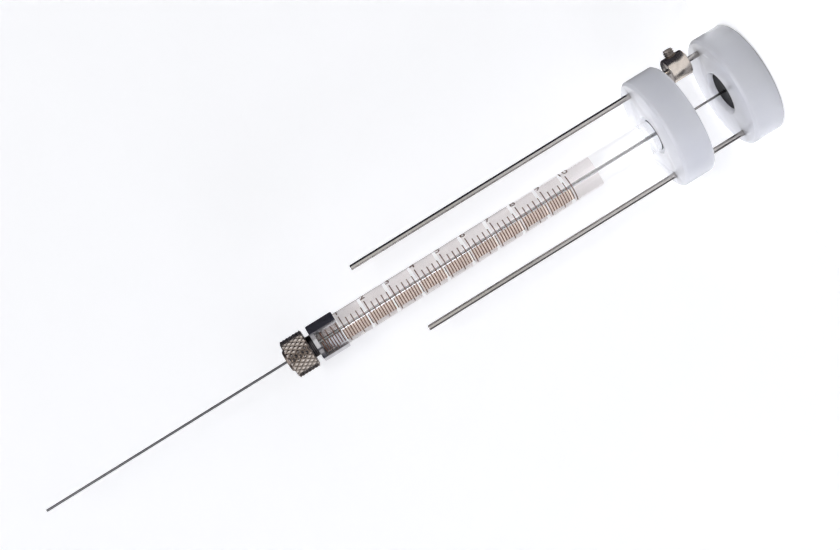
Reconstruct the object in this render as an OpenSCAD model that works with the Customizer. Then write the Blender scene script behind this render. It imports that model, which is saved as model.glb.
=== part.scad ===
// Ten microlitre glass microsyringe with a removable needle and a guided plunger.
// Two white flange discs run on two steel guide rods, and a clamped collar on the
// longer rod sets where the plunger stops. Millimetres. The pieces are drawn along X,
// from the needle's nut to the thumb disc, and the whole instrument then stands up on
// the thumb disc's flat face with its needle at the top, because on its side it rolls.

/* [Needle] */
// Length of the needle in front of the nut
needle_len = 50.8; // [20:0.1:80]
// Outside diameter of the needle tube
needle_d = 0.474; // [0.3:0.002:0.8]
// Bore of the needle tube
needle_bore = 0.127; // [0.08:0.001:0.2]
// Diameter of the shank brazed round the needle inside the nut
shank_d = 1.0; // [0.9:0.05:1.4]

/* [Nut] */
// Diameter over the knurl's crests
nut_d = 7.6; // [6.6:0.1:10]
// Length of the knurled band
knurl_len = 4.5; // [3:0.1:8]
// Number of diamonds around the knurl
knurl_count = 24; // [16:1:36]
// Depth of the knurl's grooves
knurl_depth = 0.3; // [0.1:0.05:0.4]
// Length of the nut's plain nose in front of the knurl
nose_len = 0.5; // [0.4:0.1:2]
// Diameter of the nut's plain nose
nose_d = 4.2; // [3.6:0.1:5]
// Thickness of the nut's front wall
nut_wall = 1.0; // [0.6:0.1:1.4]

/* [Barrel hub] */
// Diameter of the stud that the nut screws on to
stud_d = 4.2; // [3.8:0.1:5]
// Length of the bare neck between nut and sleeve
neck_len = 1.0; // [0.6:0.1:2]
// Diameter of the sleeve that holds the glass
sleeve_d = 7.4; // [7:0.1:9]
// Length of the sleeve
sleeve_len = 5.5; // [4:0.1:9]
// Length of solid metal in the sleeve, in front of the glass
sleeve_web = 0.8; // [0.6:0.1:2]
// Width of the sight window in the sleeve, as an angle
window_deg = 88; // [60:1:110]
// Turn of the window and the scale about the barrel, from straight up
scale_turn = 4; // [0:1:15]

/* [Barrel] */
// Outside diameter of the glass
glass_d = 6.2; // [5.8:0.1:6.6]
// Bore of the glass
bore_d = 0.485; // [0.4:0.005:0.8]
// Length of bore that holds the full volume
stroke = 54.1; // [40:0.1:58]
// Plain glass from the last mark to the front disc's face
glass_tail = 18.3; // [12:0.1:30]

/* [Scale] */
// Whole units on the scale
units = 10; // [5:1:10]
// Divisions in each unit
divisions = 5; // [2:1:10]
// Width of a mark
mark_w = 0.2; // [0.1:0.05:0.35]
// Height of the fired enamel above the glass
mark_t = 0.03; // [0.02:0.01:0.06]
// Half angle of the marks at whole units
unit_deg = 53; // [40:1:60]
// Half angle of the marks between units
minor_deg = 37; // [20:1:42]

/* [Discs] */
// Diameter of both discs
disc_d = 22.2; // [21:0.1:28]
// Thickness of both discs
disc_t = 6.5; // [5:0.1:10]
// Break on the discs' outer edges
disc_edge = 0.5; // [0.2:0.1:1]
// Gap between the two discs with the plunger home
disc_gap = 8.6; // [7:0.1:16]
// Diameter of the recess round the glass in the front disc
recess_d = 7.9; // [7:0.1:10]
// Depth of that recess
recess_depth = 1.2; // [0.5:0.1:3]

/* [Plunger] */
// Diameter of the plunger wire
wire_d = 0.46; // [0.3:0.005:0.465]
// Diameter of the plunger's steel button
button_d = 8.1; // [6:0.1:9]
// Thickness of the button
button_t = 3.2; // [2:0.1:4]
// How far the button sits below the thumb disc's front face
button_sink = 0.9; // [0.3:0.1:1.2]

/* [Guide rods] */
// Distance between the two rods' axes
rod_pitch = 17.0; // [15.5:0.1:17.5]
// Diameter of the rods
rod_d = 1.1; // [0.8:0.05:1.4]
// Reach of the longer rod in front of the front disc
long_reach = 60.4; // [58:0.1:64]
// Reach of the shorter rod in front of the front disc
short_reach = 54.0; // [50:0.1:57]
// Depth that the rods are pressed into the thumb disc
rod_seat = 5.0; // [3:0.1:5.5]

/* [Stop collar] */
// Diameter of the collar
collar_d = 5.0; // [4:0.1:5.4]
// Length of the collar
collar_len = 4.2; // [3:0.1:5]
// Gap between the front disc and the collar at rest
collar_gap = 1.8; // [0.5:0.1:2.5]
// Diameter of the clamping screw
screw_d = 2.1; // [1.6:0.1:2.4]
// Height of the screw above the collar
screw_rise = 1.2; // [0.8:0.1:2.5]
// Pitch of the screw's thread
screw_pitch = 0.4; // [0.3:0.05:0.5]

/* [Clearances] */
// Radial running clearance of rods, collar, screw and nut
run_clear = 0.05; // [0.02:0.01:0.09]
// Radial play left for cement round the glass
cement_gap = 0.04; // [0.02:0.01:0.08]
// Gap between faces that meet end to end
end_gap = 0.05; // [0.02:0.01:0.1]

/* [Hidden] */
$fn = 96;
eps = 0.01;

// Stations along the axis, from the nut's nose at zero.
knurl_x = nose_len;
nut_end = knurl_x + knurl_len;
sleeve_x = nut_end + neck_len;
glass_x = sleeve_x + sleeve_web;
sleeve_end = sleeve_x + sleeve_len;
zero_x = glass_x;
flange_x = zero_x + stroke + glass_tail;
flange_end = flange_x + disc_t;
knob_x = flange_end + disc_gap;
knob_end = knob_x + disc_t;
collar_x = flange_end + collar_gap;
button_x = knob_x + button_sink;
division = stroke / (units * divisions);

// The needle's shank, which starts just inside the nut's nose.
shank_x = 0.1;

// The needle's seal, pressed into the stud by the nut's front wall.
seal_d = 2.6;
seal_len = 2.4;
seal_x = nut_wall + end_gap;
stud_x = seal_x + seal_len * 0.35;
needle_end = glass_x - end_gap;

// Length of the nut's knurl cell, and the plain bevel at each end of the band.
knurl_rows = 2 * round(knurl_len / 1.5);
knurl_bevel = 0.22;
knurl_step = (knurl_len - 2 * knurl_bevel) / knurl_rows;

// Stands the instrument on the thumb disc's flat face, needle up.
module stand() {
    translate([0, 0, knob_end]) rotate([0, 90, 0]) children();
}

// Turned piece: profile points are [station along the axis, radius].
module turned(points) {
    rotate([90, 0, 90]) rotate_extrude() polygon([for (p = points) [p[1], p[0]]]);
}

// Plain round bar from one station to another, with bevelled ends.
module bar(x0, x1, r, bevel = 0) {
    turned([[x0, 0], [x0, r - bevel], [x0 + bevel, r], [x1 - bevel, r], [x1, r - bevel], [x1, 0]]);
}

// Cutter for a round hole from one station to another.
module hole(x0, x1, r) {
    translate([x0, 0, 0]) rotate([0, 90, 0]) cylinder(h = x1 - x0, r = r);
}

// Slice of a round bar within half_deg of straight up, for marks and windows.
module slice(x0, x1, r_in, r_out, half_deg) {
    difference() {
        translate([x0, 0, 0]) rotate([90, 0, 90])
            linear_extrude(x1 - x0)
                intersection() {
                    circle(r = r_out);
                    polygon([[0, 0],
                             [-2 * r_out * sin(half_deg), 2 * r_out * cos(half_deg)],
                             [0, 2 * r_out / cos(half_deg / 2)],
                             [2 * r_out * sin(half_deg), 2 * r_out * cos(half_deg)]]);
                }
        hole(x0 - 1, x1 + 1, r_in);
    }
}

// Diamond knurl: grooves cross at the low points and each diamond rises to one crest.
function knurl_point(k, m, r_crest) =
    let (r = (k + m) % 2 == 0 ? r_crest - knurl_depth : r_crest,
         a = 180 * k / knurl_count)
    [knurl_x + knurl_bevel + m * knurl_step, r * cos(a), r * sin(a)];

function knurl_end(k, x, r) =
    [x, r * cos(180 * k / knurl_count), r * sin(180 * k / knurl_count)];

module knurl_band(r_crest) {
    cells = 2 * knurl_count;
    rings = knurl_rows + 1;
    r_end = r_crest - knurl_depth - knurl_bevel / 2;
    points = concat(
        [for (m = [0:knurl_rows]) for (k = [0:cells - 1]) knurl_point(k, m, r_crest)],
        [for (k = [0:cells - 1]) knurl_end(k, knurl_x, r_end)],
        [for (k = [0:cells - 1]) knurl_end(k, knurl_x + knurl_len, r_end)],
        [[knurl_x, 0, 0], [knurl_x + knurl_len, 0, 0]]);
    front = rings * cells;
    back = front + cells;
    centre = back + cells;
    faces = concat(
        [for (m = [0:knurl_rows - 1]) for (k = [0:cells - 1])
            let (a = m * cells + k, b = m * cells + (k + 1) % cells, c = b + cells, d = a + cells)
            each ((k + m) % 2 == 0 ? [[a, c, b], [a, d, c]] : [[a, d, b], [b, d, c]])],
        [for (k = [0:cells - 1]) let (n = (k + 1) % cells)
            each [[front + k, n, front + n], [front + k, k, n]]],
        [for (k = [0:cells - 1]) let (n = (k + 1) % cells, last = knurl_rows * cells)
            each [[last + k, back + n, last + n], [last + k, back + k, back + n]]],
        [for (k = [0:cells - 1]) let (n = (k + 1) % cells)
            each [[centre, front + k, front + n], [centre + 1, back + n, back + k]]]);
    polyhedron(points = points, faces = faces, convexity = 4);
}

module needle() {
    color("silver") stand() difference() {
        union() {
            bar(-needle_len, needle_end, needle_d / 2);
            turned([[shank_x, 0], [shank_x, shank_d / 2 - 0.1], [shank_x + 0.1, shank_d / 2],
                    [needle_end, shank_d / 2], [needle_end, 0]]);
        }
        hole(-needle_len - 1, needle_end + 1, needle_bore / 2);
    }
}

module needle_seal() {
    color("white") stand() difference() {
        turned([[seal_x, 0], [seal_x, seal_d / 2 - 0.4], [stud_x, seal_d / 2 - 0.1],
                [stud_x + 0.1, seal_d / 2], [seal_x + seal_len, seal_d / 2], [seal_x + seal_len, 0]]);
        hole(0, seal_x + seal_len + 1, shank_d / 2);
    }
}

module hub_nut() {
    color("gainsboro") stand() difference() {
        union() {
            knurl_band(nut_d / 2);
            turned([[0, 0], [0, nose_d / 2 - 0.25], [0.25, nose_d / 2], [knurl_x, nose_d / 2 + 0.15],
                    [knurl_x + 0.3, nose_d / 2 + 0.15], [knurl_x + 0.3, 0]]);
        }
        hole(-1, nut_end, shank_d / 2 + run_clear);
        hole(nut_wall, nut_end + 1, stud_d / 2 + run_clear);
    }
}

module barrel_hub() {
    color("gainsboro") stand() difference() {
        turned([[stud_x, 0], [stud_x, stud_d / 2 - 0.3], [stud_x + 0.3, stud_d / 2],
                [sleeve_x, stud_d / 2], [sleeve_x, sleeve_d / 2 - 0.15], [sleeve_x + 0.15, sleeve_d / 2],
                [sleeve_end - 0.15, sleeve_d / 2], [sleeve_end, sleeve_d / 2 - 0.15], [sleeve_end, 0]]);
        hole(stud_x - 1, seal_x + seal_len, seal_d / 2);
        hole(stud_x, glass_x + 1, shank_d / 2 + run_clear);
        hole(glass_x, sleeve_end + 1, glass_d / 2 + cement_gap);
        rotate([scale_turn, 0, 0])
            slice(sleeve_x - eps, sleeve_end + 1, stud_d / 2, sleeve_d, window_deg / 2);
    }
}

module barrel() {
    tail = flange_end - end_gap;
    color([0.88, 0.9, 0.88, 0.6]) stand() difference() {
        bar(glass_x, tail, glass_d / 2, 0.15);
        hole(glass_x - 1, tail + 1, bore_d / 2);
        turned([[tail - 0.7, 0], [tail - 0.7, bore_d / 2 - eps], [tail + eps, bore_d / 2 + 0.5], [tail + eps, 0]]);
    }
}

module scale_marks() {
    color("saddlebrown") stand() rotate([scale_turn, 0, 0])
        for (i = [1:units * divisions])
            let (x = zero_x + i * division,
                 half_deg = i % divisions == 0 ? unit_deg : minor_deg)
            if (x > sleeve_end || i % divisions != 0)
                slice(x - mark_w / 2, x + mark_w / 2, glass_d / 2, glass_d / 2 + mark_t,
                      min(half_deg, x < sleeve_end + mark_w ? window_deg / 2 - 6 : 90));
}

// Blank of one disc: a turned plastic puck with both rims broken.
module puck(x0) {
    bar(x0, x0 + disc_t, disc_d / 2, disc_edge);
}

module front_flange() {
    color("white") stand() difference() {
        puck(flange_x);
        hole(flange_x - 1, flange_end + 1, glass_d / 2 + cement_gap);
        hole(flange_x - 1, flange_x + recess_depth, recess_d / 2);
        for (side = [-1, 1]) translate([0, side * rod_pitch / 2, 0])
            hole(flange_x - 1, flange_end + 1, rod_d / 2 + run_clear);
    }
}

module rear_knob() {
    color("white") stand() difference() {
        puck(knob_x);
        hole(knob_x - 1, button_x + button_t + end_gap, button_d / 2);
        turned([[knob_x - eps, 0], [knob_x - eps, button_d / 2 + 0.4], [knob_x + 0.6, button_d / 2],
                [knob_x + 0.6, 0]]);
        for (side = [-1, 1]) translate([0, side * rod_pitch / 2, 0])
            hole(knob_x - 1, knob_x + rod_seat, rod_d / 2);
    }
}

module plunger_wire() {
    color("dimgray") stand() bar(zero_x + end_gap, button_x + button_t * 0.7, wire_d / 2);
}

module plunger_button() {
    color([0.18, 0.18, 0.2]) stand() difference() {
        bar(button_x, button_x + button_t, button_d / 2, 0.2);
        hole(button_x - 1, button_x + button_t * 0.7, wire_d / 2);
    }
}

module guide_rod(reach, side) {
    translate([0, side * rod_pitch / 2, 0])
        bar(flange_x - reach, knob_x + rod_seat, rod_d / 2, 0.15);
}

module long_guide_rod() {
    color("silver") stand() guide_rod(long_reach, 1);
}

module short_guide_rod() {
    color("silver") stand() guide_rod(short_reach, -1);
}

module collar_place() {
    translate([collar_x, rod_pitch / 2, 0]) children();
}

module stop_collar() {
    color("gainsboro") stand() collar_place() difference() {
        bar(0, collar_len, collar_d / 2, 0.2);
        hole(-1, collar_len + 1, rod_d / 2 + run_clear);
        translate([collar_len / 2, 0, 0]) rotate([-90, 0, 0])
            cylinder(h = collar_d, r = screw_d / 2 + run_clear);
    }
}

// Slotted clamping screw: its foot bears on the rod and its thread shows above the collar.
module collar_screw() {
    foot = rod_d / 2 + end_gap;
    top = collar_d / 2 + screw_rise;
    turns = floor((top - foot - 0.4) / screw_pitch);
    r = screw_d / 2;
    thread = [for (i = [0:turns - 1])
                each [[foot + 0.2 + i * screw_pitch, r - 0.18], [foot + 0.2 + (i + 0.5) * screw_pitch, r]]];
    profile = concat([[foot, 0], [foot, r - 0.3]], thread, [[top - 0.15, r - 0.1], [top, r - 0.2], [top, 0]]);
    color("gainsboro") stand() collar_place() translate([collar_len / 2, 0, 0]) difference() {
        rotate([-90, 0, 0]) rotate_extrude() polygon([for (p = profile) [p[1], p[0]]]);
        translate([-screw_d, top - 0.55, -0.2]) cube([2 * screw_d, 1, 0.4]);
    }
}

needle();
needle_seal();
hub_nut();
barrel_hub();
barrel();
scale_marks();
front_flange();
rear_knob();
plunger_wire();
plunger_button();
long_guide_rod();
short_guide_rod();
stop_collar();
collar_screw();
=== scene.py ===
"""Looks for a ten microlitre glass microsyringe standing on its thumb disc.

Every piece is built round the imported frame. The syringe's axis is the frame's Z axis,
and a station is a distance in millimetres from the nut's nose towards the thumb disc.
The syringe's sizes are in millimetres, and those of the set round it are in metres.
"""

import math

import bmesh
import bpy
from mathutils import Matrix, Vector


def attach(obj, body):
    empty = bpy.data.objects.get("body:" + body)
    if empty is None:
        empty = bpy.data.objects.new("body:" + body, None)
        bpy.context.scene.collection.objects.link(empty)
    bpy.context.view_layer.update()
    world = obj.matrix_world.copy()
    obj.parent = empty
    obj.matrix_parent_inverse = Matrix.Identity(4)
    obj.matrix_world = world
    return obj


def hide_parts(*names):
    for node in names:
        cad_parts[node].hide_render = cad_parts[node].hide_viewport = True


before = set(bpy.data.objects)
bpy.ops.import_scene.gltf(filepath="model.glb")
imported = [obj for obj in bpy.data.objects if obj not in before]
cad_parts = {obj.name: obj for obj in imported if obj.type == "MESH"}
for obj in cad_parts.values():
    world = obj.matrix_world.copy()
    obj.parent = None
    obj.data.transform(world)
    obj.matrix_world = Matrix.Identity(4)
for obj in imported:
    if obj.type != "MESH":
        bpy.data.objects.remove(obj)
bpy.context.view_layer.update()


# ---------------------------------------------------------------- Camera
# A short telephoto on a stand at the height of the graduated glass, turned about its own
# line of sight so that the upright syringe runs from corner to corner.
CAMERA_PLACE = (0.270369, 0.031653, 0.086766)
CAMERA_RIGHT = (0.106129, -0.517977, -0.848786)
CAMERA_UP = (-0.067975, 0.847831, -0.525892)
CAMERA_LENS = 63.727  # millimetres, on a 36 mm wide sensor
CAMERA_NEAR, CAMERA_FAR = 0.01, 10

camera = bpy.data.objects.new("camera", bpy.data.cameras.new("camera"))
camera.data.lens = CAMERA_LENS
camera.data.clip_start, camera.data.clip_end = CAMERA_NEAR, CAMERA_FAR
right, up = Vector(CAMERA_RIGHT), Vector(CAMERA_UP)
turn = Matrix((right, up, right.cross(up))).transposed()
camera.matrix_world = Matrix.Translation(CAMERA_PLACE) @ turn.to_4x4()
bpy.context.scene.collection.objects.link(camera)
bpy.context.scene.camera = camera


# ---------------------------------------------------------------- Bench and backdrop
# A white laminate bench top with a white card standing close behind the syringe. Both
# are matt, and both show as plain white wherever no shadow falls on them.
def linear(code):
    """An sRGB hex colour such as '#e9e9f0' as linear RGBA."""
    parts = [int(code[i:i + 2], 16) / 255 for i in (1, 3, 5)]
    return [c / 12.92 if c <= 0.04045 else ((c + 0.055) / 1.055) ** 2.4 for c in parts] + [1]


def add_node(tree, kind, inputs=None, **settings):
    """Adds one node. Each input is a value, or another node's output to link from."""
    made = tree.nodes.new(kind)
    for name, value in settings.items():
        setattr(made, name, value)
    for socket, value in (inputs or {}).items():
        if isinstance(value, bpy.types.NodeSocket):
            tree.links.new(value, made.inputs[socket])
        else:
            made.inputs[socket].default_value = value
    return made


def new_material(name):
    """An empty node material, with its tree."""
    material = bpy.data.materials.new(name)
    material.use_nodes = True
    material.node_tree.nodes.clear()
    return material, material.node_tree


def new_piece(name, mesh, *materials):
    """Puts a finished mesh in the scene, standing at the origin."""
    piece = bpy.data.objects.new(name, mesh)
    bpy.context.scene.collection.objects.link(piece)
    for material in materials:
        mesh.materials.append(material)
    return piece


def flat_sheet(name, corners, material):
    """One flat four-cornered sheet of the set."""
    sheet = bpy.data.meshes.new(name)
    sheet.from_pydata(corners, [], [(0, 1, 2, 3)])
    return new_piece(name, sheet, material)


def seen_directly(tree):
    """The light path, and 1 where the eye, gloss or glass looks straight at the surface."""
    path = add_node(tree, "ShaderNodeLightPath")
    seen = add_node(tree, "ShaderNodeMath", {
        0: path.outputs["Is Camera Ray"], 1: path.outputs["Is Glossy Ray"]}, operation="MAXIMUM")
    seen = add_node(tree, "ShaderNodeMath", {
        0: seen.outputs[0], 1: path.outputs["Is Transmission Ray"]}, operation="MAXIMUM")
    return path, seen.outputs[0]


# Matt white card: an even, chalky white with the faintest fibre, and it keeps soft
# shadows. Beside the discs the backdrop also glows for diffuse light, though it is no lamp:
# painted light that brightens the discs. The card's back lets the view through, so that
# the syringe can be looked at from behind.
CARD_WHITE, FIBRES_PER_MM, FIBRE_DARKEST = "#f4f4f4", 0.9, 0.985
PER_MM = 1000.0     # a texture counts its patches in a metre
CARD_LIFT = 0.455   # white added where the eye, gloss or glass sees the card
CARD_GLOW_ON_DISCS = 0.75  # painted light: glow on the backdrop beside the discs, which lights them
BACKDROP_X = -0.0114  # just clear of the discs
GLOW_CENTRE = (BACKDROP_X, 0, 0.018)  # on the backdrop, beside the discs
GLOW_FULL, GLOW_NONE = 0.017, 0.026  # distances from that centre


def white_card(name, disc_glow):
    """The card's material, glowing this much beside the discs as painted light that lights them.
    """
    made, tree = new_material(name)
    path, seen = seen_directly(tree)
    lift = add_node(tree, "ShaderNodeMath", {0: seen, 1: CARD_LIFT}, operation="MULTIPLY")
    place = add_node(tree, "ShaderNodeTexCoord")
    away = add_node(tree, "ShaderNodeVectorMath", {
        0: place.outputs["Object"], 1: GLOW_CENTRE}, operation="DISTANCE")
    near = add_node(tree, "ShaderNodeMapRange", {
        "Value": away.outputs["Value"], "From Min": GLOW_FULL, "From Max": GLOW_NONE,
        "To Min": disc_glow, "To Max": 0.0})
    # Painted light: beside the discs the card glows for diffuse rays and lights them like a lamp.
    glow_for_diffuse = add_node(tree, "ShaderNodeMath", {
        0: path.outputs["Is Diffuse Ray"], 1: near.outputs["Result"]}, operation="MULTIPLY")
    level = add_node(tree, "ShaderNodeMath", {
        0: lift.outputs[0], 1: glow_for_diffuse.outputs[0]}, operation="MAXIMUM")
    fibre = add_node(tree, "ShaderNodeTexNoise", {
        "Scale": FIBRES_PER_MM * PER_MM, "Detail": 3.0})
    tone = add_node(tree, "ShaderNodeMapRange", {
        "Value": fibre.outputs["Fac"], "To Min": FIBRE_DARKEST, "To Max": 1.0})
    white = add_node(tree, "ShaderNodeVectorMath", {
        0: linear(CARD_WHITE)[:3], "Scale": tone.outputs["Result"]}, operation="SCALE")
    matt = add_node(tree, "ShaderNodeBsdfDiffuse", {"Color": white.outputs["Vector"]})
    glow = add_node(tree, "ShaderNodeEmission", {"Strength": level.outputs[0]})
    front = add_node(tree, "ShaderNodeAddShader", {0: matt.outputs[0], 1: glow.outputs[0]})
    back = add_node(tree, "ShaderNodeBsdfTransparent")
    side = add_node(tree, "ShaderNodeNewGeometry")
    both = add_node(tree, "ShaderNodeMixShader", {
        0: side.outputs["Backfacing"], 1: front.outputs[0], 2: back.outputs[0]})
    add_node(tree, "ShaderNodeOutputMaterial", {"Surface": both.outputs[0]})
    return made


BENCH_HALF = 3.0
flat_sheet("bench_top", [
    (-BENCH_HALF, -BENCH_HALF, 0), (BENCH_HALF, -BENCH_HALF, 0),
    (BENCH_HALF, BENCH_HALF, 0), (-BENCH_HALF, BENCH_HALF, 0)],
    white_card("matt_white_card", 0.0))
flat_sheet("backdrop", [
    (BACKDROP_X, -BENCH_HALF, 0), (BACKDROP_X, BENCH_HALF, 0),
    (BACKDROP_X, BENCH_HALF, BENCH_HALF), (BACKDROP_X, -BENCH_HALF, BENCH_HALF)],
    white_card("white_card_glowing_by_discs", CARD_GLOW_ON_DISCS))

# Dark cards stand at both sides and against the backdrop, and two small ones lie on the
# bench. Only gloss sees them: they put the dark edges on polished metal.
CARD_X, SMALL_CARD_X = BACKDROP_X + 0.0001, BACKDROP_X + 0.0002
CARD_FOOT, CARD_TOP, CARD_ON_BENCH = -0.1, 0.4, 0.0003


def upright(start, end, foot=CARD_FOOT, top=CARD_TOP):
    """The corners of a card that stands on the line from start to end."""
    return [(*start, foot), (*end, foot), (*end, top), (*start, top)]


def lying(start, end):
    """The corners of a card that lies on the bench between two opposite corners."""
    (xa, ya), (xb, yb) = start, end
    return [(x, y, CARD_ON_BENCH) for x, y in ((xa, ya), (xb, ya), (xb, yb), (xa, yb))]


dark_card, tree = new_material("dark_card")
add_node(tree, "ShaderNodeOutputMaterial", {
    "Surface": add_node(tree, "ShaderNodeBsdfDiffuse", {"Color": linear("#4c4c54")}).outputs[0]})
for name, corners in (
        ("dark_card_left", upright((CARD_X, 0.06), (0.05, 0.06))),
        ("dark_card_right", upright((CARD_X, -0.06), (0.06, -0.06))),
        ("dark_card_behind", upright((CARD_X, 0.0125), (CARD_X, 0.06))),
        ("dark_card_behind_hub", upright((SMALL_CARD_X, 0.003), (SMALL_CARD_X, 0.0125), 0.05)),
        ("dark_card_behind_collar", upright((SMALL_CARD_X, 0.005), (SMALL_CARD_X, 0.0125),
                                            0.0145, 0.0195)),
        ("dark_card_low_left", lying((SMALL_CARD_X, 0.030), (0.034, 0.085))),
        ("dark_card_low_right", lying((0.001, -0.050), (0.032, -0.017)))):
    flag = flat_sheet(name, corners, dark_card)
    flag.visible_camera = flag.visible_diffuse = flag.visible_shadow = False
    flag.visible_transmission = flag.visible_volume_scatter = False


# ---------------------------------------------------------------- Studio light
# A narrow softbox behind the camera throws the soft shadow on the card, a wide one high
# above lights the faces of the discs, one at the side lights their lower edges, and a dim
# pale room fills in.
SET_CENTRE = Vector((0, 0, 0.076))
ROOM_STRENGTH = 0.02


def softbox(name, place, size, power, tint):
    """A rectangular lamp that faces the middle of the syringe. Its power is in watts."""
    lamp = bpy.data.lights.new(name, "AREA")
    lamp.shape = "RECTANGLE"
    lamp.size, lamp.size_y = size
    lamp.energy = power
    lamp.color = linear(tint)[:3]
    made = bpy.data.objects.new(name, lamp)
    made.location = place
    made.rotation_mode = "QUATERNION"
    made.rotation_quaternion = (SET_CENTRE - Vector(place)).to_track_quat("-Z", "Y")
    bpy.context.scene.collection.objects.link(made)


softbox("key_softbox", place=(2.1, 0.55, 0.98), size=(0.60, 0.30), power=10.0, tint="#ffffff")
softbox("top_softbox", place=(0.08, 0.0, 0.85), size=(0.70, 0.50), power=3.9, tint="#f2f4ff")
softbox("side_softbox", place=(0.06, -0.60, 0.10), size=(0.40, 0.40), power=2.5, tint="#f2f4ff")

room = bpy.data.worlds.new("pale_room")
room.use_nodes = True
bpy.context.scene.world = room
tree = room.node_tree
tree.nodes.clear()
dim = add_node(tree, "ShaderNodeBackground", {
    "Color": linear("#eceef4"), "Strength": ROOM_STRENGTH})
bright = add_node(tree, "ShaderNodeBackground", {"Color": (1, 1, 1, 1), "Strength": 1.0})
mixed = add_node(tree, "ShaderNodeMixShader", {
    0: seen_directly(tree)[1], 1: dim.outputs[0], 2: bright.outputs[0]})
add_node(tree, "ShaderNodeOutputWorld", {"Surface": mixed.outputs[0]})

bpy.context.scene.view_settings.view_transform = "Standard"


# ---------------------------------------------------------------- Needle
# Drawn stainless steel tube, 0.474 mm outside and 0.127 mm inside, cut square at the
# tip. A thicker shank is brazed round its rear end, inside the nut.
KNOB_END = 100.8  # station of the thumb disc's flat face, which stands on the bench
ON_AXIS = 1e-6  # a smaller radius than this is a point on the axis


def shaded(mesh, sharp_angle):
    """Shades a mesh smooth, and keeps each edge sharp that turns by more than this angle."""
    mesh.shade_smooth()
    mesh.set_sharp_from_angle(angle=math.radians(sharp_angle))
    return mesh


def turned(name, profile, segments=96, ring=False):
    """A lathe-turned mesh from (station, radius) points. A ring's last point joins its first."""
    form = bmesh.new()
    loops = []
    for station, radius in profile:
        z = (KNOB_END - station) / 1000
        if radius < ON_AXIS:
            loops.append([form.verts.new((0, 0, z))])
            continue
        loops.append([form.verts.new((radius / 1000 * math.cos(math.tau * i / segments),
                                      radius / 1000 * math.sin(math.tau * i / segments), z))
                      for i in range(segments)])
    for a, b in zip(loops, loops[1:] + loops[:1] if ring else loops[1:]):
        for i in range(segments):
            j = (i + 1) % segments
            if len(a) == 1 and len(b) == 1:
                break
            if len(a) == 1:
                form.faces.new((a[0], b[i], b[j]))
            elif len(b) == 1:
                form.faces.new((a[j], a[i], b[0]))
            else:
                form.faces.new((a[j], a[i], b[i], b[j]))
    bmesh.ops.recalc_face_normals(form, faces=form.faces)
    mesh = bpy.data.meshes.new(name)
    form.to_mesh(mesh)
    form.free()
    return shaded(mesh, sharp_angle=32)


def two_tones(tree, patches, detail, dark, light):
    """A soft pattern of patches, and the colour that it mixes from a dark and a light one.

    The patches are counted in each millimetre along X, Y and Z.
    """
    place = add_node(tree, "ShaderNodeTexCoord")
    spread = add_node(tree, "ShaderNodeMapping", {
        "Vector": place.outputs["Object"], "Scale": [n * PER_MM for n in patches]})
    noise = add_node(tree, "ShaderNodeTexNoise", {
        "Vector": spread.outputs[0], "Scale": 1.0, "Detail": detail})
    tint = add_node(tree, "ShaderNodeMix", {
        0: noise.outputs["Fac"], 6: linear(dark), 7: linear(light)}, data_type="RGBA")
    return noise.outputs["Fac"], tint.outputs[2]


# Drawn stainless steel: mid grey, with lengthwise lines left by the die. The real ones
# are too fine to show, so they are drawn 0.1 mm apart.
drawn_steel, tree = new_material("drawn_stainless_steel")
lines, tint = two_tones(tree, (9, 9, 0.06), 2.0, "#626265", "#7c7c7e")
rough = add_node(tree, "ShaderNodeMapRange", {"Value": lines, "To Min": 0.20, "To Max": 0.38})
skin = add_node(tree, "ShaderNodeBsdfPrincipled", {
    "Base Color": tint, "Metallic": 1.0, "Roughness": rough.outputs["Result"]})
add_node(tree, "ShaderNodeOutputMaterial", {"Surface": skin.outputs[0]})

NEEDLE_LENGTH, NEEDLE_R, NEEDLE_BORE_R, TIP_BREAK = 50.8, 0.237, 0.0635, 0.03
SHANK_START, SHANK_END, SHANK_R, SHANK_BREAK = 0.1, 6.75, 0.5, 0.1
needle = new_piece("needle_tube", turned("needle_tube", [
    (-NEEDLE_LENGTH, NEEDLE_BORE_R), (-NEEDLE_LENGTH, NEEDLE_R - TIP_BREAK),
    (-NEEDLE_LENGTH + TIP_BREAK, NEEDLE_R), (SHANK_START, NEEDLE_R),
    (SHANK_START, SHANK_R - SHANK_BREAK), (SHANK_START + SHANK_BREAK, SHANK_R),
    (SHANK_END, SHANK_R), (SHANK_END, NEEDLE_BORE_R)], segments=48, ring=True), drawn_steel)
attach(needle, "barrel")
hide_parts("needle")


# ---------------------------------------------------------------- Needle seal
# White fluoropolymer bush that the nut squeezes against the stud. It stays out of sight
# inside the nut, so the frame's own solid is shown with its finish.
def dress(node, material):
    """Gives a frame solid its finish."""
    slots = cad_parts[node].data.materials
    slots.clear()
    slots.append(material)


# White fluoropolymer: waxy and faintly clouded, in patches of 0.4 mm.
fluoropolymer, tree = new_material("white_fluoropolymer")
_, tint = two_tones(tree, (2.5, 2.5, 2.5), 2.0, "#eeece6", "#f6f5f1")
skin = add_node(tree, "ShaderNodeBsdfPrincipled", {
    "Base Color": tint, "Roughness": 0.45, "Subsurface Weight": 0.2, "Subsurface Scale": 0.0004})
add_node(tree, "ShaderNodeOutputMaterial", {"Surface": skin.outputs[0]})
dress("needle_seal", fluoropolymer)


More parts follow.
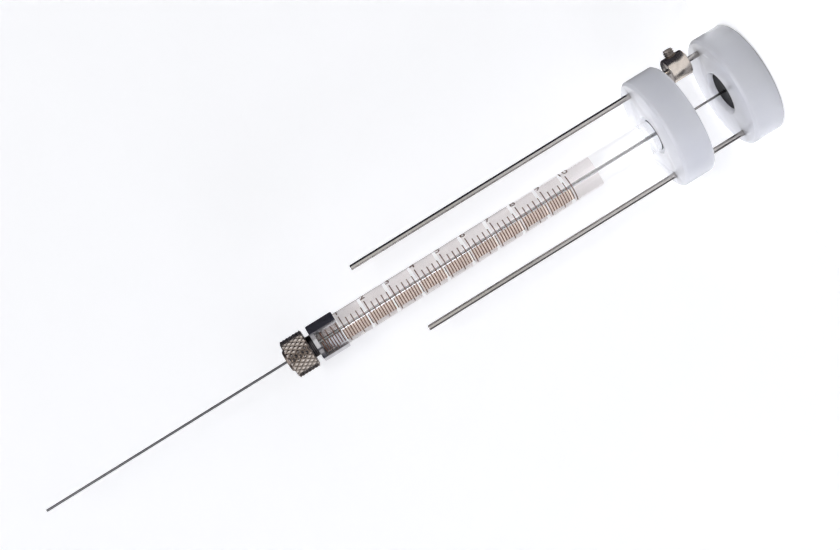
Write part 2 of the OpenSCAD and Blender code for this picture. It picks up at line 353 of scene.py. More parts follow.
# ---------------------------------------------------------------- Knurled nut
# Turned brass nut, nickel plated, that clamps the needle to the hub. A diamond knurl is
# rolled into it for the fingers: 24 diamonds round it, 0.3 mm deep, with flat crests.
NUT_R, NUT_KNURL_START, NUT_KNURL_END, NUT_BEVEL, NUT_EDGE = 3.8, 0.5, 5.0, 0.22, 0.41
NUT_STUD_R, NUT_SHANK_R, NUT_WALL, NUT_MOUTH = 2.15, 0.55, 1.0, 0.2
NOSE_R, NOSE_ROUND, NOSE_ROUND_MIDDLE, NOSE_FLARE = 2.1, 0.25, 0.08, 0.15
KNURL_COUNT, KNURL_DEPTH, KNURL_CREST, KNURL_ROWS = 24, 0.3, 0.46, 3
KNURL_BAND = NUT_KNURL_END - NUT_KNURL_START - 2 * NUT_BEVEL
KNURL_STEPS_ROUND, KNURL_STEPS_ALONG = 16, 60  # mesh steps round one diamond, and along the band

# Nickel plate: a warm plate, clouded in patches of 0.7 mm, and shinier on the crests. Its
# colour turns a darker, duller grey-brown towards the bottom of the grooves, fading out
# between these two radii.
GROOVE_DARK_R, CREST_PLATE_R = 3.52, 3.78
knurl_nickel, tree = new_material("knurled_nut_nickel_plate")
_, plate = two_tones(tree, (1.4, 1.4, 1.4), 4.0, "#c9bfb5", "#e8e0d9")
place = add_node(tree, "ShaderNodeTexCoord")
xyz = add_node(tree, "ShaderNodeSeparateXYZ", {0: place.outputs["Object"]})
flat = add_node(tree, "ShaderNodeCombineXYZ", {0: xyz.outputs[0], 1: xyz.outputs[1]})
out = add_node(tree, "ShaderNodeVectorMath", {0: flat.outputs[0]}, operation="LENGTH")
crest_share = add_node(tree, "ShaderNodeMapRange", {
    "Value": out.outputs["Value"], "From Min": GROOVE_DARK_R / 1000, "From Max": CREST_PLATE_R / 1000})
tint = add_node(tree, "ShaderNodeMix", {
    0: crest_share.outputs["Result"], 6: linear("#7b7068"), 7: plate}, data_type="RGBA")
rough = add_node(tree, "ShaderNodeMapRange", {
    "Value": crest_share.outputs["Result"], "To Min": 0.34, "To Max": 0.14})
skin = add_node(tree, "ShaderNodeBsdfPrincipled", {
    "Base Color": tint.outputs[2], "Metallic": 1.0, "Roughness": rough.outputs["Result"]})
add_node(tree, "ShaderNodeOutputMaterial", {"Surface": skin.outputs[0]})

band = [(NUT_KNURL_START + NUT_BEVEL + i * KNURL_BAND / KNURL_STEPS_ALONG, NUT_R)
        for i in range(KNURL_STEPS_ALONG + 1)]
nut_profile = [
    (0, NUT_SHANK_R), (0, NOSE_R - NOSE_ROUND), (NOSE_ROUND_MIDDLE, NOSE_R - NOSE_ROUND_MIDDLE),
    (NOSE_ROUND, NOSE_R), (NUT_KNURL_START, NOSE_R + NOSE_FLARE),
    (NUT_KNURL_START, NUT_R - NUT_EDGE)] + band + [
    (NUT_KNURL_END, NUT_R - NUT_EDGE), (NUT_KNURL_END, NUT_STUD_R + NUT_MOUTH),
    (NUT_KNURL_END - NUT_MOUTH, NUT_STUD_R), (NUT_WALL, NUT_STUD_R), (NUT_WALL, NUT_SHANK_R)]
nut = new_piece("knurled_nut", turned("knurled_nut", nut_profile, ring=True,
                                      segments=KNURL_COUNT * KNURL_STEPS_ROUND), knurl_nickel)


def group_with(name, sockets):
    """A geometry node group with a Geometry input and output, and named number inputs."""
    group = bpy.data.node_groups.new(name, "GeometryNodeTree")
    face = group.interface
    face.new_socket("Geometry", in_out="INPUT", socket_type="NodeSocketGeometry")
    for label, kind, value in sockets:
        face.new_socket(label, in_out="INPUT", socket_type=kind).default_value = value
    face.new_socket("Geometry", in_out="OUTPUT", socket_type="NodeSocketGeometry")
    return group, add_node(group, "NodeGroupInput")


def end_group(group, last, material):
    """Ends a geometry node group with real geometry of one material."""
    real = add_node(group, "GeometryNodeRealizeInstances", {0: last.outputs[0]})
    coated = add_node(group, "GeometryNodeSetMaterial", {
        "Geometry": real.outputs[0], "Material": material})
    add_node(group, "NodeGroupOutput", {0: coated.outputs[0]})


def plain_mesh(piece):
    """The piece's mesh with its modifiers worked in."""
    return bpy.data.meshes.new_from_object(
        piece.evaluated_get(bpy.context.evaluated_depsgraph_get()))


def grow(piece, group, values, material):
    """Runs a geometry node group on a piece and keeps the result as a plain mesh."""
    modifier = piece.modifiers.new("grow", "NODES")
    modifier.node_group = group
    for item in group.interface.items_tree:
        if item.in_out == "INPUT" and item.name in values:
            modifier[item.identifier] = values[item.name]
    result = plain_mesh(piece)
    piece.modifiers.remove(modifier)
    result.name = piece.name
    piece.data = result
    if not result.materials:
        result.materials.append(material)


# Each point of the band is pulled in towards the axis where a left-hand and a right-hand
# set of V-grooves cross it, and the flat crests between the grooves are left.
knurl, given = group_with("diamond_knurl", [
    ("Diamonds", "NodeSocketInt", 24), ("Crest radius", "NodeSocketFloat", 0.0038),
    ("Depth", "NodeSocketFloat", 0.0003), ("Pitch", "NodeSocketFloat", 0.00135),
    ("Middle", "NodeSocketFloat", 0.098), ("Crest", "NodeSocketFloat", 0.34)])
where = add_node(knurl, "GeometryNodeInputPosition")
xyz = add_node(knurl, "ShaderNodeSeparateXYZ", {0: where.outputs[0]})
flat = add_node(knurl, "ShaderNodeCombineXYZ", {0: xyz.outputs[0], 1: xyz.outputs[1]})
radius = add_node(knurl, "ShaderNodeVectorMath", {0: flat.outputs[0]}, operation="LENGTH")
angle = add_node(knurl, "ShaderNodeMath", {
    0: xyz.outputs[1], 1: xyz.outputs[0]}, operation="ARCTAN2")
turns = add_node(knurl, "ShaderNodeMath", {0: angle.outputs[0], 1: math.tau}, operation="DIVIDE")
across = add_node(knurl, "ShaderNodeMath", {
    0: turns.outputs[0], 1: given.outputs["Diamonds"]}, operation="MULTIPLY")
height = add_node(knurl, "ShaderNodeMath", {
    0: xyz.outputs[2], 1: given.outputs["Middle"]}, operation="SUBTRACT")
rise = add_node(knurl, "ShaderNodeMath", {
    0: height.outputs[0], 1: given.outputs["Pitch"]}, operation="DIVIDE")
ridges = []
for sign in ("ADD", "SUBTRACT"):
    slant = add_node(knurl, "ShaderNodeMath", {
        0: across.outputs[0], 1: rise.outputs[0]}, operation=sign)
    ridges.append(add_node(knurl, "ShaderNodeMath", {0: slant.outputs[0], 1: 0.5},
                           operation="PINGPONG"))
lowest = add_node(knurl, "ShaderNodeMath", {
    0: ridges[0].outputs[0], 1: ridges[1].outputs[0]}, operation="MINIMUM")
share = add_node(knurl, "ShaderNodeMapRange", {
    "Value": lowest.outputs[0], "From Max": given.outputs["Crest"], "To Min": 1.0, "To Max": 0.0})
cut = add_node(knurl, "ShaderNodeMath", {
    0: share.outputs[0], 1: given.outputs["Depth"]}, operation="MULTIPLY")
bottom = add_node(knurl, "ShaderNodeMath", {
    0: given.outputs["Crest radius"], 1: cut.outputs[0]}, operation="SUBTRACT")
kept = add_node(knurl, "ShaderNodeMath", {
    0: radius.outputs["Value"], 1: bottom.outputs[0]}, operation="MINIMUM")
ratio = add_node(knurl, "ShaderNodeMath", {
    0: kept.outputs[0], 1: radius.outputs["Value"]}, operation="DIVIDE")
pulled = add_node(knurl, "ShaderNodeVectorMath", {
    0: flat.outputs[0], "Scale": ratio.outputs[0]}, operation="SCALE")
back_up = add_node(knurl, "ShaderNodeCombineXYZ", {2: xyz.outputs[2]})
moved = add_node(knurl, "ShaderNodeVectorMath", {
    0: pulled.outputs[0], 1: back_up.outputs[0]}, operation="ADD")
rolled = add_node(knurl, "GeometryNodeSetPosition", {
    "Geometry": given.outputs["Geometry"], "Position": moved.outputs[0]})
end_group(knurl, rolled, knurl_nickel)
grow(nut, knurl, {
    "Diamonds": KNURL_COUNT, "Crest radius": NUT_R / 1000, "Depth": KNURL_DEPTH / 1000,
    "Pitch": KNURL_BAND / KNURL_ROWS / 1000, "Crest": KNURL_CREST,
    "Middle": (KNOB_END - NUT_KNURL_START - NUT_BEVEL) / 1000}, knurl_nickel)
nut.data.set_sharp_from_angle(angle=math.radians(28))
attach(nut, "nut")
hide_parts("hub_nut")


# ---------------------------------------------------------------- Barrel hub
# Turned brass hub, nickel plated. Its stud takes the nut, and its sleeve is cemented
# round the glass, with a sight window milled in the side that the scale faces.
SAME_POINT, SAME_PLANE = 2e-6, math.radians(0.4)  # closer points and flatter edges are merged
EDGE_ANGLE, EDGE_STEPS = math.radians(35), 2      # sharper edges are rounded


def clean_copy(name, node, soft_edge):
    """A merged, smoothly shaded copy of a frame solid, its edges rounded by soft_edge mm."""
    form = bmesh.new()
    form.from_mesh(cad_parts[node].data)
    bmesh.ops.remove_doubles(form, verts=form.verts, dist=SAME_POINT)
    bmesh.ops.dissolve_limit(form, angle_limit=SAME_PLANE, verts=form.verts, edges=form.edges)
    mesh = bpy.data.meshes.new(name)
    form.to_mesh(mesh)
    form.free()
    piece = new_piece(name, mesh)
    if soft_edge:
        edge = piece.modifiers.new("soft_edge", "BEVEL")
        edge.width = soft_edge / 1000
        edge.segments = EDGE_STEPS
        edge.limit_method = "ANGLE"
        edge.angle_limit = EDGE_ANGLE
        piece.data = plain_mesh(piece)
        piece.modifiers.remove(edge)
    shaded(piece.data, sharp_angle=32)
    return piece


# Bright nickel plate, cooler than the nut's and with no darker grooves, over turning lines
# that are drawn 0.1 mm apart, coarser than the real ones, so that they show.
bright_nickel, tree = new_material("turned_bright_nickel")
lines, tint = two_tones(tree, (0.15, 0.15, 9), 3.0, "#b4b3b6", "#d2d0d2")
rough = add_node(tree, "ShaderNodeMapRange", {"Value": lines, "To Min": 0.14, "To Max": 0.26})
skin = add_node(tree, "ShaderNodeBsdfPrincipled", {
    "Base Color": tint, "Metallic": 1.0, "Roughness": rough.outputs["Result"]})
add_node(tree, "ShaderNodeOutputMaterial", {"Surface": skin.outputs[0]})

# The stud's cut thread, its turns 0.35 mm apart, as bumps. Its near-black grey is painted
# shade for the narrow gap between nut and sleeve, and its dark and light bands are painted
# shade and light along the thread: only a sliver shows behind the nut.
stud_thread_shaded, tree = new_material("stud_thread_painted_shade")
place = add_node(tree, "ShaderNodeTexCoord")
cut_lines = add_node(tree, "ShaderNodeTexWave", {
    "Vector": place.outputs["Object"], "Scale": 900.0}, bands_direction="Z")
grooves = add_node(tree, "ShaderNodeBump", {
    "Height": cut_lines.outputs["Fac"], "Distance": 0.0001, "Strength": 0.6})
tint = add_node(tree, "ShaderNodeMix", {
    0: cut_lines.outputs["Fac"], 6: linear("#2b292b"), 7: linear("#625e5e")}, data_type="RGBA")
skin = add_node(tree, "ShaderNodeBsdfPrincipled", {
    "Base Color": tint.outputs[2], "Metallic": 1.0, "Roughness": 0.42,
    "Normal": grooves.outputs[0]})
add_node(tree, "ShaderNodeOutputMaterial", {"Surface": skin.outputs[0]})

STUD_R, SLEEVE_START = 2.1, 6.0
STUD_NEAR, SLEEVE_NEAR = 0.05, 0.02  # leeway in telling the stud's faces from the others
hub = clean_copy("window_hub", "barrel_hub", soft_edge=0)
hub.data.materials.append(bright_nickel)
hub.data.materials.append(stud_thread_shaded)
form = bmesh.new()
form.from_mesh(hub.data)
bmesh.ops.bisect_plane(form, geom=form.verts[:] + form.edges[:] + form.faces[:],
                       plane_co=(0, 0, (KNOB_END - SLEEVE_START) / 1000), plane_no=(0, 0, 1))
form.to_mesh(hub.data)
form.free()
# The stud's faces between nut and sleeve take the thread's painted shade.
for face in hub.data.polygons:
    middle = face.center * 1000
    on_stud = middle.xy.length < STUD_R + STUD_NEAR
    if on_stud and KNOB_END - middle.z < SLEEVE_START - SLEEVE_NEAR:
        face.material_index = 1
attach(hub, "barrel")
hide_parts("barrel_hub")


# ---------------------------------------------------------------- Glass barrel
# Thick borosilicate capillary, 6.2 mm outside with a 0.485 mm bore, ground square at
# the needle end and flared at the mouth where the plunger's wire goes in.
GLASS_START, GLASS_END, GLASS_R, BORE_R, GLASS_BREAK = 6.8, 85.65, 3.1, 0.2425, 0.15
FLARE_WIDTH, FLARE_DEPTH = 0.5, 0.7
BORE_FIRST, BORE_LAST = GLASS_START + 0.5, GLASS_END - 1.5  # the profile's ends, in the bore
FILLET_SHARE = 0.45  # the most of a side that one fillet takes


def fillet(points, radius, steps=3):
    """Rounds each inner corner of a turned profile, in millimetres."""
    made = [points[0]]
    for before, corner, after in zip(points, points[1:], points[2:]):
        c = Vector(corner)
        to_before, to_after = Vector(before) - c, Vector(after) - c
        reach = min(radius, to_before.length * FILLET_SHARE, to_after.length * FILLET_SHARE)
        a, b = c + to_before.normalized() * reach, c + to_after.normalized() * reach
        for i in range(steps + 1):
            t = i / steps
            made.append(tuple(a * (1 - t) ** 2 + c * 2 * t * (1 - t) + b * t ** 2))
    return made + [points[-1]]


# Borosilicate glass: clear and colourless, with lengthwise draw lines that only just bend
# what lies behind them, and light passing straight on through it.
glass, tree = new_material("borosilicate_glass")
path = add_node(tree, "ShaderNodeLightPath")
place = add_node(tree, "ShaderNodeTexCoord")
along = add_node(tree, "ShaderNodeMapping", {
    "Vector": place.outputs["Object"], "Scale": (0.3 * PER_MM, 0.3 * PER_MM, 0.012 * PER_MM)})
draw = add_node(tree, "ShaderNodeTexNoise", {"Vector": along.outputs[0], "Scale": 1.0})
ripple = add_node(tree, "ShaderNodeBump", {
    "Height": draw.outputs["Fac"], "Distance": 0.00001, "Strength": 0.15})
body = add_node(tree, "ShaderNodeBsdfPrincipled", {
    "Base Color": linear("#fdfdfd"), "Roughness": 0.0, "IOR": 1.47,
    "Transmission Weight": 1.0, "Normal": ripple.outputs[0]})
clear = add_node(tree, "ShaderNodeBsdfTransparent", {"Color": linear("#f8f8f8")})
both = add_node(tree, "ShaderNodeMixShader", {
    0: path.outputs["Is Shadow Ray"], 1: body.outputs[0], 2: clear.outputs[0]})
add_node(tree, "ShaderNodeOutputMaterial", {"Surface": both.outputs[0]})

glass_profile = fillet([
    (BORE_FIRST, BORE_R), (GLASS_START, BORE_R), (GLASS_START, GLASS_R - GLASS_BREAK),
    (GLASS_START + GLASS_BREAK, GLASS_R), (GLASS_END - GLASS_BREAK, GLASS_R),
    (GLASS_END, GLASS_R - GLASS_BREAK), (GLASS_END, BORE_R + FLARE_WIDTH),
    (GLASS_END - FLARE_DEPTH, BORE_R), (BORE_LAST, BORE_R)], radius=0.05)
barrel = new_piece("glass_barrel",
                   turned("glass_barrel", glass_profile, segments=128, ring=True), glass)
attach(barrel, "barrel")
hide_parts("barrel")


# ---------------------------------------------------------------- Scale
# Fired enamel on the outside of the glass: a pale strip down the back that the marks are
# read against, fifty brown strokes in front, and a number beside each whole unit.
SCALE_TURN = math.radians(4)  # the window and the scale are turned this far from +X
ZERO, DIVISION, DIVISIONS_IN_UNIT, UNITS = 6.8, 1.082, 5, 10
UNIT = DIVISIONS_IN_UNIT * DIVISION
STRIP_START, STRIP_END, STRIP_HALF = 11.65, 67.2, math.radians(75)
STRIP_GAP, STRIP_GAP_LEAD = 0.52, 0.605  # bare line across the strip, ahead of each unit
STRIP_PITCH_EXTRA = 0.03  # the bare lines are set a little wider than the units
PRINT_T = 0.025

# Brown enamel: fired powder, speckled in grains of 0.2 mm.
enamel, tree = new_material("fired_brown_enamel")
_, tint = two_tones(tree, (5, 5, 5), 3.0, "#452416", "#74452e")
skin = add_node(tree, "ShaderNodeBsdfPrincipled", {"Base Color": tint, "Roughness": 0.4})
add_node(tree, "ShaderNodeOutputMaterial", {"Surface": skin.outputs[0]})
dress("scale_marks", enamel)

# Pale enamel: a grey-white with a touch of lilac, mottled in patches of 1.4 mm.
pale_enamel, tree = new_material("fired_pale_enamel")
_, tint = two_tones(tree, (0.7, 0.7, 0.7), 3.0, "#efe9e9", "#f8f4f4")
skin = add_node(tree, "ShaderNodeBsdfPrincipled", {"Base Color": tint, "Roughness": 0.5})
add_node(tree, "ShaderNodeOutputMaterial", {"Surface": skin.outputs[0]})


def patch(start, end, low, high, steps, thickness=PRINT_T):
    """A printed patch on the glass between two stations and two angles from +X."""
    form = bmesh.new()
    angles = [low + (high - low) * j / steps for j in range(steps + 1)]
    under, over = [[[form.verts.new((r / 1000 * math.cos(a), r / 1000 * math.sin(a),
                                     (KNOB_END - station) / 1000)) for a in angles]
                    for station in (start, end)] for r in (GLASS_R, GLASS_R + thickness)]
    for first, last in (under, over):
        for j in range(steps):
            form.faces.new((first[j], first[j + 1], last[j + 1], last[j]))
    rim = [(0, j) for j in range(steps + 1)] + [(1, j) for j in range(steps, -1, -1)] + [(0, 0)]
    for (i, j), (k, m) in zip(rim, rim[1:]):
        form.faces.new((under[i][j], under[k][m], over[k][m], over[i][j]))
    bmesh.ops.recalc_face_normals(form, faces=form.faces)
    mesh = bpy.data.meshes.new("patch")
    form.to_mesh(mesh)
    form.free()
    return mesh


def joined(name, meshes):
    """One mesh made of several."""
    form = bmesh.new()
    for mesh in meshes:
        form.from_mesh(mesh)
        bpy.data.meshes.remove(mesh)
    whole = bpy.data.meshes.new(name)
    form.to_mesh(whole)
    form.free()
    return whole


gaps = [ZERO + unit * UNIT - STRIP_GAP_LEAD + (unit - 2) * STRIP_PITCH_EXTRA
        for unit in range(2, UNITS + 1)]
edges = [STRIP_START] + [x + side * STRIP_GAP / 2 for x in gaps for side in (-1, 1)] + [STRIP_END]
back_of_scale = math.pi - SCALE_TURN
strip = new_piece("scale_strip", joined("scale_strip", [
    patch(start, end, back_of_scale - STRIP_HALF, back_of_scale + STRIP_HALF, steps=60)
    for start, end in zip(edges[::2], edges[1::2])]), pale_enamel)
shaded(strip.data, sharp_angle=40)
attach(strip, "barrel")

# Below the bore each division is halved by a finer stroke, and every fifth of these is
# longer.
FINE_W = 0.19
FINE_TOP, FINE_FOOT, FIFTH_FOOT = math.radians(2), math.radians(-41), math.radians(-57)
strokes, given = group_with("fine_strokes", [
    ("Strokes", "NodeSocketInt", 50), ("Pitch", "NodeSocketFloat", 0.001)])
down = add_node(strokes, "ShaderNodeMath", {0: given.outputs["Pitch"], 1: -1.0},
                operation="MULTIPLY")
step = add_node(strokes, "ShaderNodeCombineXYZ", {2: down.outputs[0]})
row = add_node(strokes, "GeometryNodeMeshLine", {
    "Count": given.outputs["Strokes"], "Offset": step.outputs[0]})
laid = add_node(strokes, "GeometryNodeInstanceOnPoints", {
    "Points": row.outputs[0], "Instance": given.outputs["Geometry"]})
end_group(strokes, laid, enamel)
for name, foot, first, count, pitch in (
        ("half_strokes", FINE_FOOT, 0.5, UNITS * DIVISIONS_IN_UNIT, DIVISION),
        ("fifth_strokes", FIFTH_FOOT, DIVISIONS_IN_UNIT / 2, UNITS, UNIT)):
    at = ZERO + first * DIVISION
    first_stroke = patch(at - FINE_W / 2, at + FINE_W / 2, foot, FINE_TOP, steps=8)
    piece = new_piece(name, first_stroke, enamel)
    grow(piece, strokes, {"Strokes": count, "Pitch": pitch / 1000}, enamel)
    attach(piece, "barrel")

# A thin amber glaze lies under the fine strokes and warms the gaps between them: a clear
# film with a little chalk in it, clouded in patches of 1.1 mm.
GLAZE_TOP, GLAZE_T, GLAZE_CHALK = math.radians(1), 0.010, 0.1
GLAZE_END = ZERO + UNITS * UNIT + 0.1
glaze, tree = new_material("fired_amber_glaze")
_, tint = two_tones(tree, (0.9, 0.9, 0.9), 2.0, "#ffe4d0", "#ffeedf")
film = add_node(tree, "ShaderNodeBsdfTransparent", {"Color": linear("#fff9f4")})
chalk = add_node(tree, "ShaderNodeBsdfDiffuse", {"Color": tint})
both = add_node(tree, "ShaderNodeMixShader", {
    0: GLAZE_CHALK, 1: film.outputs[0], 2: chalk.outputs[0]})
add_node(tree, "ShaderNodeOutputMaterial", {"Surface": both.outputs[0]})
amber = new_piece("amber_glaze", joined("amber_glaze", [
    patch(start, min(end, GLAZE_END), FINE_FOOT, GLAZE_TOP, 12, GLAZE_T)
    for start, end in zip(edges[::2], edges[1::2])]), glaze)
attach(amber, "barrel")

# Numbers one to ten, each wrapped round the glass past the long strokes.
DIGIT_HEIGHT, DIGIT_MIDDLE, DIGIT_STEP = 1.7, math.radians(80), 0.12
CAPITAL_SHARE = 0.7  # height of the font's digits as a share of its size
SAME_CORNER = 1e-5   # closer corners of a digit are made one
numbers = bmesh.new()
for unit in range(1, UNITS + 1):
    word = bpy.data.curves.new("number", "FONT")
    word.body = str(unit)
    word.size = DIGIT_HEIGHT / CAPITAL_SHARE
    word.align_x = "CENTER"
    word.extrude = 0.5  # only tells the digit's front from its back, below
    holder = bpy.data.objects.new("number", word)
    bpy.context.scene.collection.objects.link(holder)
    bpy.context.view_layer.update()
    flat_word = plain_mesh(holder)
    bpy.data.objects.remove(holder)
    digits = bmesh.new()
    digits.from_mesh(flat_word)
    bmesh.ops.remove_doubles(digits, verts=digits.verts, dist=SAME_CORNER)
    for i in range(1, int(DIGIT_HEIGHT / DIGIT_STEP) + 1):
        bmesh.ops.bisect_plane(digits, geom=digits.verts[:] + digits.edges[:] + digits.faces[:],
                               plane_co=(0, i * DIGIT_STEP, 0), plane_no=(0, 1, 0))
    for v in digits.verts:
        x, y, z = v.co
        r = GLASS_R + (PRINT_T if z > 0 else 0)
        a = DIGIT_MIDDLE - SCALE_TURN + (y - DIGIT_HEIGHT / 2) / GLASS_R
        station = ZERO + unit * UNIT + x
        v.co = (r / 1000 * math.cos(a), r / 1000 * math.sin(a), (KNOB_END - station) / 1000)
    bmesh.ops.recalc_face_normals(digits, faces=digits.faces)
    digits.to_mesh(flat_word)
    digits.free()
    numbers.from_mesh(flat_word)
    bpy.data.meshes.remove(flat_word)
    bpy.data.curves.remove(word)
number_mesh = bpy.data.meshes.new("scale_numbers")
numbers.to_mesh(number_mesh)
numbers.free()
digits_piece = new_piece("scale_numbers", number_mesh, enamel)
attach(digits_piece, "barrel")


# ---------------------------------------------------------------- Front disc
# White acetal disc turned from bar, cemented round the glass as the finger flange. The
# two guide rods run through it, and a shallow recess round the glass holds the cement.
DISC_EDGE = 0.1

# Acetal: a milky, faintly blue white that light enters, clouded in patches of 6 mm and
# turned to a satin skin, whose grain is drawn at 0.17 mm to show.
acetal, tree = new_material("white_acetal")
cloud, tint = two_tones(tree, (0.16, 0.16, 0.16), 3.0, "#edeef4", "#f4f5fa")
place = add_node(tree, "ShaderNodeTexCoord")
fine = add_node(tree, "ShaderNodeTexNoise", {
    "Vector": place.outputs["Object"], "Scale": 6 * PER_MM, "Detail": 2.0})
grainy = add_node(tree, "ShaderNodeBump", {
    "Height": fine.outputs["Fac"], "Distance": 0.00001, "Strength": 0.12})
rough = add_node(tree, "ShaderNodeMapRange", {"Value": cloud, "To Min": 0.16, "To Max": 0.24})
skin = add_node(tree, "ShaderNodeBsdfPrincipled", {
    "Base Color": tint, "Roughness": rough.outputs["Result"], "IOR": 1.48,
    "Subsurface Weight": 0.8, "Subsurface Scale": 0.004, "Subsurface Radius": (1.0, 1.0, 1.0),
    "Normal": grainy.outputs[0]})
add_node(tree, "ShaderNodeOutputMaterial", {"Surface": skin.outputs[0]})

flange = clean_copy("finger_disc", "front_flange", soft_edge=DISC_EDGE)
flange.data.materials.append(acetal)
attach(flange, "barrel")
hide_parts("front_flange")

# A thin dark grey strip lies on the front of the glass at the mouth of the recess, only
# over the side towards +X: painted shade for the dark line where the glass goes into the
# disc. It is smooth, and clouded in patches of 1.1 mm.
FLANGE_FACE, SHADE_LINE_HALF, SHADE_LINE_T = 79.2, math.radians(84), 0.06
SHADE_LINE_START, SHADE_LINE_END = FLANGE_FACE + 0.1, FLANGE_FACE + 0.35
shade_line_dark, tree = new_material("painted_shade_line")
_, tint = two_tones(tree, (0.9, 0.9, 0.9), 2.0, "#2a2a32", "#44444e")
skin = add_node(tree, "ShaderNodeBsdfPrincipled", {"Base Color": tint, "Roughness": 0.35})
add_node(tree, "ShaderNodeOutputMaterial", {"Surface": skin.outputs[0]})
shade_line = new_piece("shade_line_at_recess", patch(SHADE_LINE_START, SHADE_LINE_END, -SHADE_LINE_HALF, SHADE_LINE_HALF,
                                      32, SHADE_LINE_T), shade_line_dark)
shaded(shade_line.data, sharp_angle=40)
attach(shade_line, "barrel")


# ---------------------------------------------------------------- Thumb disc
# The same white acetal, with a bevelled pocket in front for the plunger's button and two
# blind holes that grip the guide rods. Its flat rear face is what the thumb pushes.
knob = clean_copy("thumb_disc", "rear_knob", soft_edge=DISC_EDGE)
knob.data.materials.append(acetal)
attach(knob, "plunger")
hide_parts("rear_knob")


# ---------------------------------------------------------------- Plunger wire
# Straight stainless spring wire, a close running fit in the bore. Its rear end is pressed
# into the button.
WIRE_R, WIRE_START, WIRE_END = 0.23, 6.85, 97.44

# Spring wire, its colour a shade darker than the rods': painted shade for the dark line
# that the wire makes inside the glass. Its lengthwise lines are drawn 0.1 mm apart,
# coarser than the real ones, so that they show.
wire_painted_darker, tree = new_material("spring_wire_painted_darker")
_, tint = two_tones(tree, (9, 9, 0.04), 2.0, "#8a8886", "#a8a6a4")
skin = add_node(tree, "ShaderNodeBsdfPrincipled", {
    "Base Color": tint, "Metallic": 1.0, "Roughness": 0.22})
add_node(tree, "ShaderNodeOutputMaterial", {"Surface": skin.outputs[0]})

wire = new_piece("plunger_rod_wire", turned("plunger_rod_wire", fillet([
    (WIRE_START, 0), (WIRE_START, WIRE_R), (WIRE_END, WIRE_R), (WIRE_END, 0)], radius=0.05),
    segments=48), wire_painted_darker)
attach(wire, "plunger")
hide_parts("plunger_wire")


# ---------------------------------------------------------------- Plunger button
# Turned steel button, blackened, with a hole that the wire's end is pressed into. It sits
# in the thumb disc's pocket, so that the disc pushes and pulls the wire.
BUTTON_START, BUTTON_R, BUTTON_T, BUTTON_BREAK, WIRE_HOLE_BREAK = 95.2, 4.05, 3.2, 0.2, 0.15

# Blackened steel: an oiled oxide skin with almost no shine, stained in patches of 0.6 mm.
black_steel, tree = new_material("blackened_steel")
stain, tint = two_tones(tree, (1.8, 1.8, 1.8), 4.0, "#08080b", "#15151b")
rough = add_node(tree, "ShaderNodeMapRange", {"Value": stain, "To Min": 0.32, "To Max": 0.5})
skin = add_node(tree, "ShaderNodeBsdfPrincipled", {
    "Base Color": tint, "Metallic": 0.0, "Roughness": rough.outputs["Result"],
    "Specular IOR Level": 0.06})
add_node(tree, "ShaderNodeOutputMaterial", {"Surface": skin.outputs[0]})

button = new_piece("wire_button", turned("wire_button", fillet([
    (WIRE_END, 0), (WIRE_END, WIRE_R), (BUTTON_START + WIRE_HOLE_BREAK, WIRE_R),
    (BUTTON_START, WIRE_R + WIRE_HOLE_BREAK), (BUTTON_START, BUTTON_R - BUTTON_BREAK),
    (BUTTON_START + BUTTON_BREAK, BUTTON_R), (BUTTON_START + BUTTON_T, BUTTON_R),
    (BUTTON_START + BUTTON_T, 0)], radius=0.04), segments=96), black_steel)
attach(button, "plunger")
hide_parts("plunger_button")


# ---------------------------------------------------------------- Guide rods
# Two ground stainless rods pressed into the thumb disc. They slide through the front
# disc and keep the plunger straight; the longer one also carries the stop collar.
ROD_R, ROD_Y, ROD_END, ROD_BREAK = 0.55, 8.5, 99.3, 0.15
LONG_ROD_START, SHORT_ROD_START = 18.8, 25.2

# Ground stainless steel: a bright, slightly warm grey. The grinding lines round the rod
# are drawn 0.14 mm apart, coarser than the real ones, so that they show.
ground_steel, tree = new_material("ground_stainless_steel")
lines, tint = two_tones(tree, (0.4, 0.4, 7), 3.0, "#a29e9b", "#c2beba")
rough = add_node(tree, "ShaderNodeMapRange", {"Value": lines, "To Min": 0.09, "To Max": 0.19})
skin = add_node(tree, "ShaderNodeBsdfPrincipled", {
    "Base Color": tint, "Metallic": 1.0, "Roughness": rough.outputs["Result"]})
add_node(tree, "ShaderNodeOutputMaterial", {"Surface": skin.outputs[0]})

for name, node, y, start in (("long_rod", "long_guide_rod", ROD_Y, LONG_ROD_START),
                             ("short_rod", "short_guide_rod", -ROD_Y, SHORT_ROD_START)):
    mesh = turned(name, fillet([
        (start, 0), (start, ROD_R - ROD_BREAK), (start + ROD_BREAK, ROD_R),
        (ROD_END - ROD_BREAK, ROD_R), (ROD_END, ROD_R - ROD_BREAK), (ROD_END, 0)],
        radius=0.06), segments=64)
    mesh.transform(Matrix.Translation((0, y / 1000, 0)))
    rod = new_piece(name, mesh, ground_steel)
    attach(rod, "plunger")
    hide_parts(node)


# ---------------------------------------------------------------- Stop collar
# Turned brass ring, nickel plated, that slides on the longer rod. Its screw clamps it
# where the plunger is to stop.
COLLAR_R, COLLAR_START, COLLAR_END, COLLAR_BREAK = 2.5, 87.5, 91.7, 0.2
COLLAR_BORE_R = ROD_R + 0.05
INTO_BORE = 0.5  # the profile starts and ends this far inside the bore

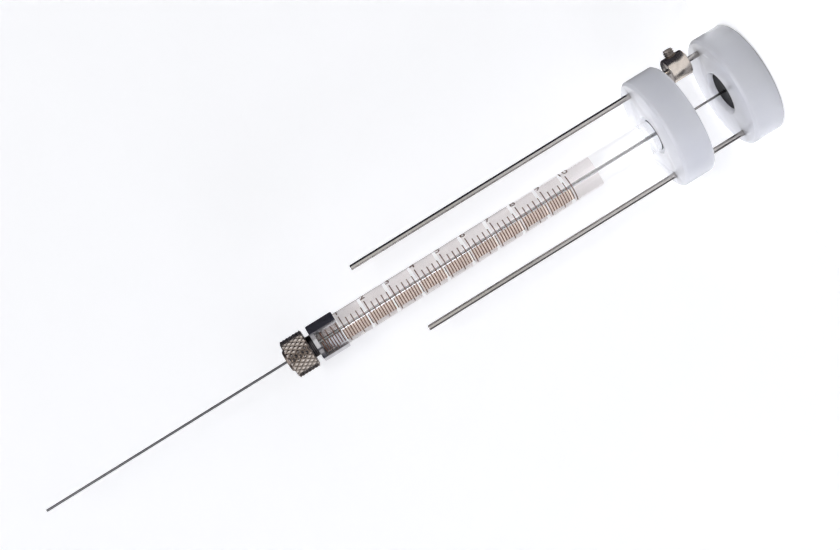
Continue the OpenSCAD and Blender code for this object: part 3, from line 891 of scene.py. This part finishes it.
# Nickel plate, a little warm: a mirror softened by handling, clouded in patches of 0.7 mm
# and dulled by scratches, which are drawn 0.1 mm apart to show.
nickel, tree = new_material("nickel_plated_brass")
_, tint = two_tones(tree, (1.4, 1.4, 1.4), 4.0, "#beb3a7", "#dcd3c9")
place = add_node(tree, "ShaderNodeTexCoord")
scratch = add_node(tree, "ShaderNodeTexNoise", {
    "Vector": place.outputs["Object"], "Scale": 9 * PER_MM, "Detail": 2.0})
rough = add_node(tree, "ShaderNodeMapRange", {
    "Value": scratch.outputs["Fac"], "To Min": 0.10, "To Max": 0.26})
skin = add_node(tree, "ShaderNodeBsdfPrincipled", {
    "Base Color": tint, "Metallic": 1.0, "Roughness": rough.outputs["Result"]})
add_node(tree, "ShaderNodeOutputMaterial", {"Surface": skin.outputs[0]})

mesh = turned("clamp_collar", fillet([
    (COLLAR_START + INTO_BORE, COLLAR_BORE_R), (COLLAR_START, COLLAR_BORE_R),
    (COLLAR_START, COLLAR_R - COLLAR_BREAK), (COLLAR_START + COLLAR_BREAK, COLLAR_R),
    (COLLAR_END - COLLAR_BREAK, COLLAR_R), (COLLAR_END, COLLAR_R - COLLAR_BREAK),
    (COLLAR_END, COLLAR_BORE_R), (COLLAR_END - INTO_BORE, COLLAR_BORE_R)],
    radius=0.05), segments=128, ring=True)
mesh.transform(Matrix.Translation((0, ROD_Y / 1000, 0)))
collar = new_piece("clamp_collar", mesh, nickel)
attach(collar, "collar")
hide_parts("stop_collar")


# ---------------------------------------------------------------- Clamp screw
# Slotted steel screw in the collar, its foot on the rod. Its rolled thread is a helix
# wound round the core, and the thread's end stands just below the slot.
SCREW_R, SCREW_ROOT_R = 1.05, 0.86
SCREW_Z = (KNOB_END - (COLLAR_START + COLLAR_END) / 2) / 1000
THREAD_PITCH, THREAD_START, THREAD_TURNS, THREAD_RIDGE = 0.4, 9.5, 5.9, 0.16

# Plain steel gone dull brown with handling, in patches of 0.4 mm, shinier where it rubs.
dull_steel, tree = new_material("browned_screw_steel")
worn, tint = two_tones(tree, (2.6, 2.6, 2.6), 4.0, "#4c4540", "#98908a")
rough = add_node(tree, "ShaderNodeMapRange", {"Value": worn, "To Min": 0.40, "To Max": 0.24})
skin = add_node(tree, "ShaderNodeBsdfPrincipled", {
    "Base Color": tint, "Metallic": 1.0, "Roughness": rough.outputs["Result"]})
add_node(tree, "ShaderNodeOutputMaterial", {"Surface": skin.outputs[0]})

core = clean_copy("clamp_screw_slotted", "collar_screw", soft_edge=0)
for v in core.data.vertices:
    across = Vector((v.co.x, v.co.z - SCREW_Z))
    if across.length * 1000 > SCREW_ROOT_R:
        across *= SCREW_ROOT_R / 1000 / across.length
    v.co.x, v.co.z = across.x, across.y + SCREW_Z
core.data.materials.append(dull_steel)

thread, given = group_with("screw_thread", [
    ("Turns", "NodeSocketFloat", 5.0), ("Pitch", "NodeSocketFloat", 0.0004),
    ("Middle radius", "NodeSocketFloat", 0.0009), ("Ridge", "NodeSocketFloat", 0.00015),
    ("Start", "NodeSocketVector", (0, 0, 0))])
climb = add_node(thread, "ShaderNodeMath", {
    0: given.outputs["Turns"], 1: given.outputs["Pitch"]}, operation="MULTIPLY")
helix = add_node(thread, "GeometryNodeCurveSpiral", {
    "Resolution": 40, "Rotations": given.outputs["Turns"], "Height": climb.outputs[0],
    "Start Radius": given.outputs["Middle radius"], "End Radius": given.outputs["Middle radius"]})
ridge = add_node(thread, "GeometryNodeCurvePrimitiveCircle", {
    "Resolution": 6, "Radius": given.outputs["Ridge"]})
wound = add_node(thread, "GeometryNodeCurveToMesh", {
    "Curve": helix.outputs[0], "Profile Curve": ridge.outputs[0], "Fill Caps": True})
stood = add_node(thread, "GeometryNodeTransform", {
    "Geometry": wound.outputs[0], "Translation": given.outputs["Start"],
    "Rotation": (-math.pi / 2, 0, 0)})
end_group(thread, stood, dull_steel)
coil = new_piece("clamp_screw_thread", bpy.data.meshes.new("clamp_screw_thread"))
grow(coil, thread, {
    "Turns": THREAD_TURNS, "Pitch": THREAD_PITCH / 1000, "Ridge": THREAD_RIDGE / 1000,
    "Middle radius": (SCREW_R - THREAD_RIDGE) / 1000,
    "Start": (0, THREAD_START / 1000, SCREW_Z)}, dull_steel)
for piece in (core, coil):
    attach(piece, "clamp_screw")
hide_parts("collar_screw")
